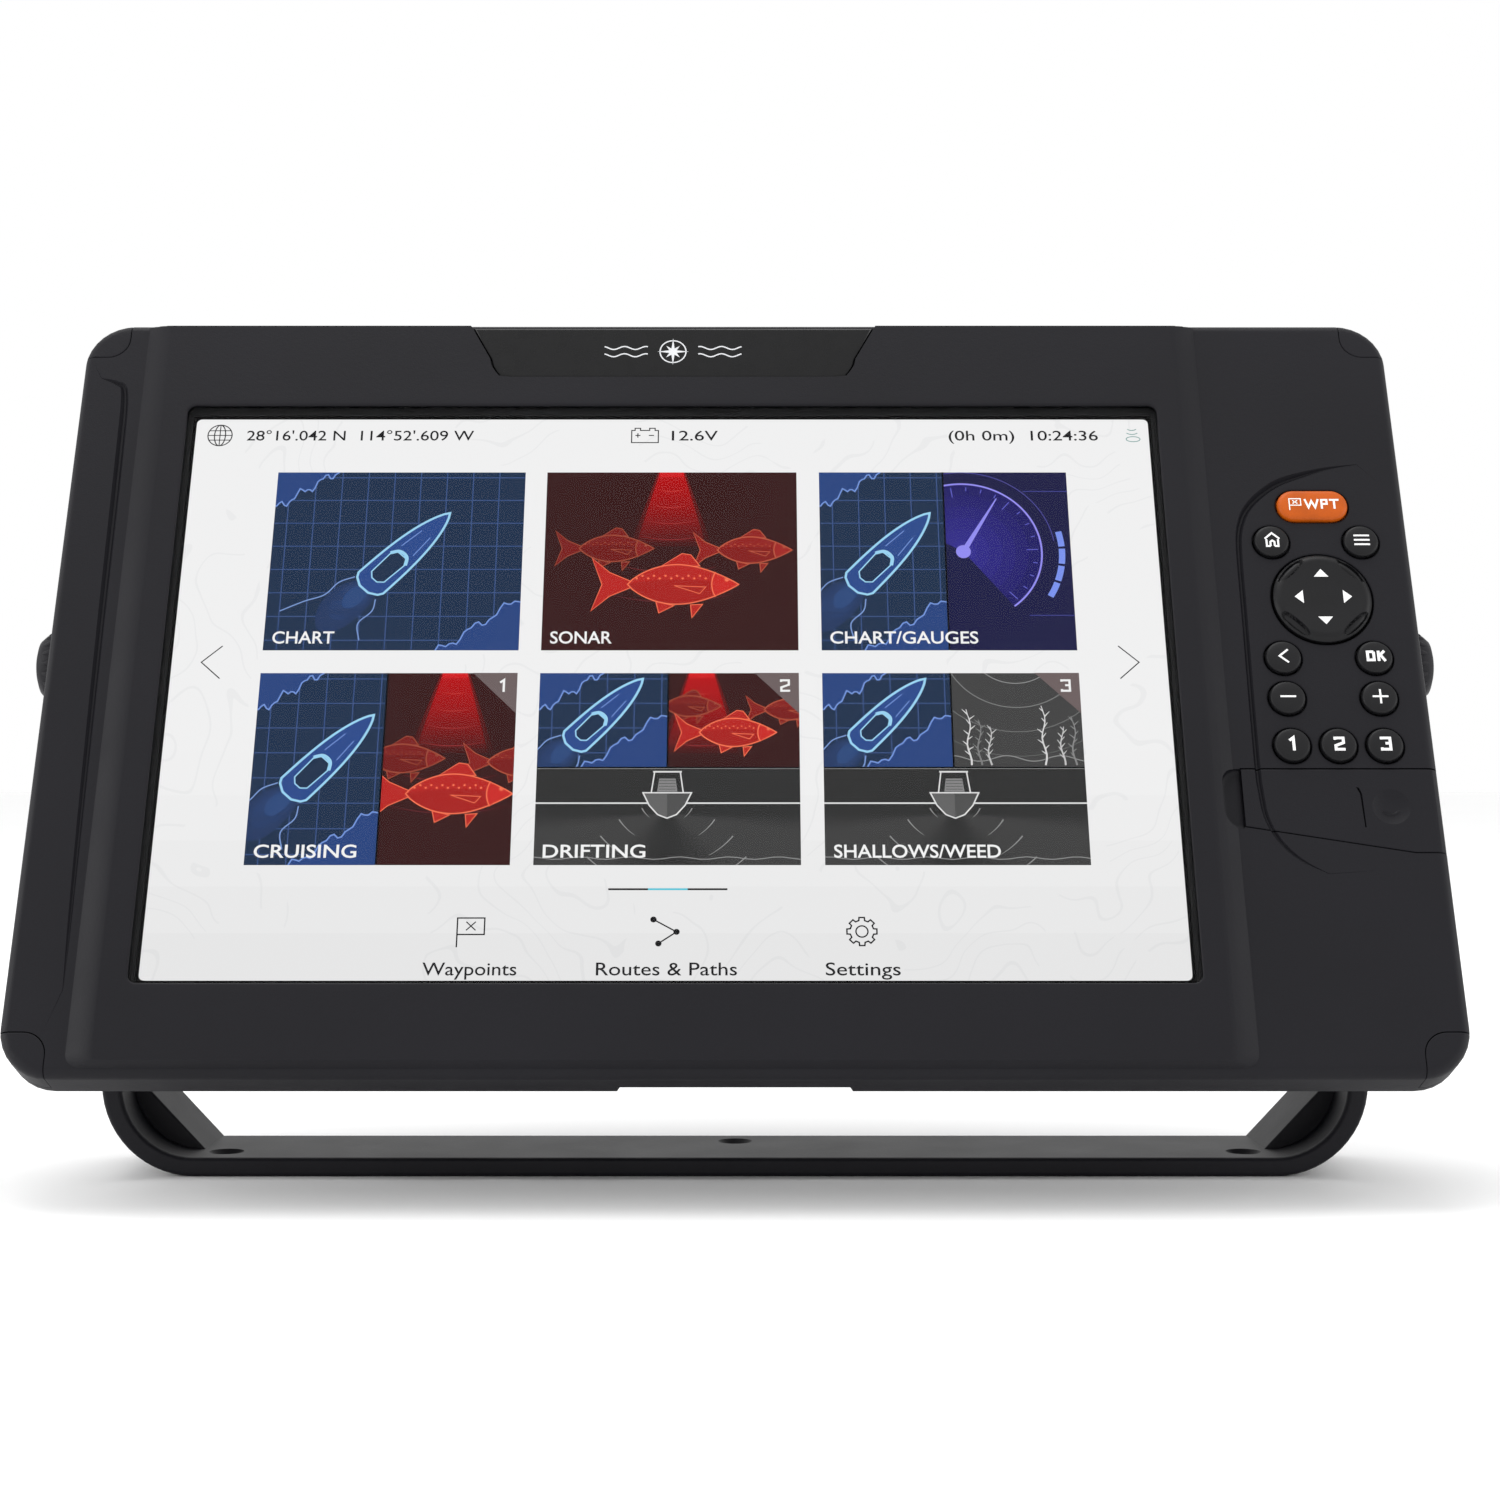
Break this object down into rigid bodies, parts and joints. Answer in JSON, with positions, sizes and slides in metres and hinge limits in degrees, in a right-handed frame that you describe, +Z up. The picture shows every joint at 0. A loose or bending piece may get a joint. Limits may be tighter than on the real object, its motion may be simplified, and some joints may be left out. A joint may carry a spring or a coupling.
{
  "type": "chartplotter display",
  "caption": "Marine chartplotter: a leaning screen in a finned case with a side keypad, direction pad and card door, on a U-shaped trunnion bracket with clamp knobs.",
  "frame": {"origin": "middle of the bracket's foot, on the face that is screwed down", "axes": "+X to the right of someone facing the screen, +Y away from them towards the rear sockets, +Z up from the mounting surface"},
  "size_m": [0.384, 0.1345, 0.2315],
  "materials": {
    "case_plastic": "fine-grained satin moulding",
    "gloss_plastic": "smooth, semi-gloss",
    "key_rubber": "silky coated rubber",
    "orange_rubber": "silky coated rubber",
    "seal_rubber": "matt",
    "glass": "polished",
    "screen": "lit picture",
    "light_guide": "clear moulded",
    "board": "solder-masked board",
    "steel": "brushed",
    "aluminium": "plain rolled",
    "brass": "turned",
    "ceramic": "fired ceramic"
  },
  "bodies": {
    "bracket": {"bracket": "case_plastic", "arm_pad_left": "seal_rubber", "arm_pad_right": "seal_rubber"},
    "display_head": {"front_bezel": "case_plastic", "corner_cap_top_left": "case_plastic", "corner_cap_top_right": "case_plastic", "corner_cap_bottom_left": "case_plastic", "corner_cap_bottom_right": "case_plastic", "rear_cover": "case_plastic", "emblem_plate": "gloss_plastic", "power_socket": "gloss_plastic", "transducer_socket": "gloss_plastic", "network_socket": "gloss_plastic", "sounder": "gloss_plastic", "case_seal": "seal_rubber", "flange_gasket": "seal_rubber", "glass_seal": "seal_rubber", "pressure_vent": "seal_rubber", "keypad_mat": "seal_rubber", "card_door_seal": "seal_rubber", "cover_glass": "glass", "lcd_panel": "screen", "light_guide": "light_guide", "led_bar": "board", "main_board": "board", "sonar_board": "board", "wifi_antenna": "board", "keypad_board": "board", "case_screw_1": "steel", "case_screw_2": "steel", "case_screw_3": "steel", "case_screw_4": "steel", "backlight_tray": "steel", "shield_can": "steel", "card_reader": "steel", "door_hinge_pin": "steel", "heat_spreader": "aluminium", "insert_left": "brass", "insert_right": "brass", "gps_antenna": "ceramic"},
    "key_home": {"key_home": "key_rubber"},
    "key_menu": {"key_menu": "key_rubber"},
    "key_back": {"key_back": "key_rubber"},
    "key_ok": {"key_ok": "key_rubber"},
    "key_minus": {"key_minus": "key_rubber"},
    "key_plus": {"key_plus": "key_rubber"},
    "key_1": {"key_1": "key_rubber"},
    "key_2": {"key_2": "key_rubber"},
    "key_3": {"key_3": "key_rubber"},
    "key_waypoint": {"key_waypoint": "orange_rubber"},
    "dpad_carrier": {"dpad_carrier": "gloss_plastic"},
    "dpad_cap": {"dpad_cap": "key_rubber"},
    "card_door": {"card_door": "case_plastic"},
    "left_knob_washer": {"knob_washer_left": "steel"},
    "left_knob": {"knob_left": "case_plastic", "knob_stud_left": "steel"},
    "right_knob_washer": {"knob_washer_right": "steel"},
    "right_knob": {"knob_right": "case_plastic", "knob_stud_right": "steel"}
  },
  "joints": [
    {"name": "head_tilt", "type": "hinge", "parent": "bracket", "child": "display_head", "pos_m": [0, 0.014, 0.135], "axis": [1, 0, 0], "range_deg": [-40, 15]},
    {"name": "key_home_press", "type": "slide", "parent": "display_head", "child": "key_home", "axis": [0, 0.9063, -0.4226], "range_m": [0, 0.0006], "stiffness_N_per_m": 400},
    {"name": "key_menu_press", "type": "slide", "parent": "display_head", "child": "key_menu", "axis": [0, 0.9063, -0.4226], "range_m": [0, 0.0006], "stiffness_N_per_m": 400},
    {"name": "key_back_press", "type": "slide", "parent": "display_head", "child": "key_back", "axis": [0, 0.9063, -0.4226], "range_m": [0, 0.0006], "stiffness_N_per_m": 400},
    {"name": "key_ok_press", "type": "slide", "parent": "display_head", "child": "key_ok", "axis": [0, 0.9063, -0.4226], "range_m": [0, 0.0006], "stiffness_N_per_m": 400},
    {"name": "key_minus_press", "type": "slide", "parent": "display_head", "child": "key_minus", "axis": [0, 0.9063, -0.4226], "range_m": [0, 0.0006], "stiffness_N_per_m": 400},
    {"name": "key_plus_press", "type": "slide", "parent": "display_head", "child": "key_plus", "axis": [0, 0.9063, -0.4226], "range_m": [0, 0.0006], "stiffness_N_per_m": 400},
    {"name": "key_1_press", "type": "slide", "parent": "display_head", "child": "key_1", "axis": [0, 0.9063, -0.4226], "range_m": [0, 0.0006], "stiffness_N_per_m": 400},
    {"name": "key_2_press", "type": "slide", "parent": "display_head", "child": "key_2", "axis": [0, 0.9063, -0.4226], "range_m": [0, 0.0006], "stiffness_N_per_m": 400},
    {"name": "key_3_press", "type": "slide", "parent": "display_head", "child": "key_3", "axis": [0, 0.9063, -0.4226], "range_m": [0, 0.0006], "stiffness_N_per_m": 400},
    {"name": "key_waypoint_press", "type": "slide", "parent": "display_head", "child": "key_waypoint", "axis": [0, 0.9063, -0.4226], "range_m": [0, 0.0006], "stiffness_N_per_m": 400},
    {"name": "dpad_up_down", "type": "hinge", "parent": "display_head", "child": "dpad_carrier", "pos_m": [0.1559, -0.01177, 0.15132], "axis": [1, 0, 0], "range_deg": [-3, 3], "stiffness_Nm_per_rad": 0.2},
    {"name": "dpad_left_right", "type": "hinge", "parent": "dpad_carrier", "child": "dpad_cap", "pos_m": [0.1559, -0.01177, 0.15132], "axis": [0, 0.4226, 0.9063], "range_deg": [-3, 3], "stiffness_Nm_per_rad": 0.2},
    {"name": "card_door_swing", "type": "hinge", "parent": "display_head", "child": "card_door", "pos_m": [0.176, -0.03733, 0.09472], "axis": [0, 0.4226, 0.9063], "range_deg": [0, 100]},
    {"name": "left_knob_travel", "type": "slide", "parent": "display_head", "child": "left_knob_washer", "axis": [-1, 0, 0], "range_m": [0, 0.005]},
    {"name": "left_knob_turn", "type": "hinge", "parent": "left_knob_washer", "child": "left_knob", "pos_m": [0, 0.014, 0.135], "axis": [-1, 0, 0], "range_deg": [0, 1836]},
    {"name": "right_knob_travel", "type": "slide", "parent": "display_head", "child": "right_knob_washer", "axis": [1, 0, 0], "range_m": [0, 0.005]},
    {"name": "right_knob_turn", "type": "hinge", "parent": "right_knob_washer", "child": "right_knob", "pos_m": [0, 0.014, 0.135], "axis": [1, 0, 0], "range_deg": [0, 1836]}
  ],
  "couplings": [
    {"joint": "left_knob_turn", "follows": "left_knob_travel", "rad_per_m": 6283.2},
    {"joint": "right_knob_turn", "follows": "right_knob_travel", "rad_per_m": 6283.2}
  ]
}
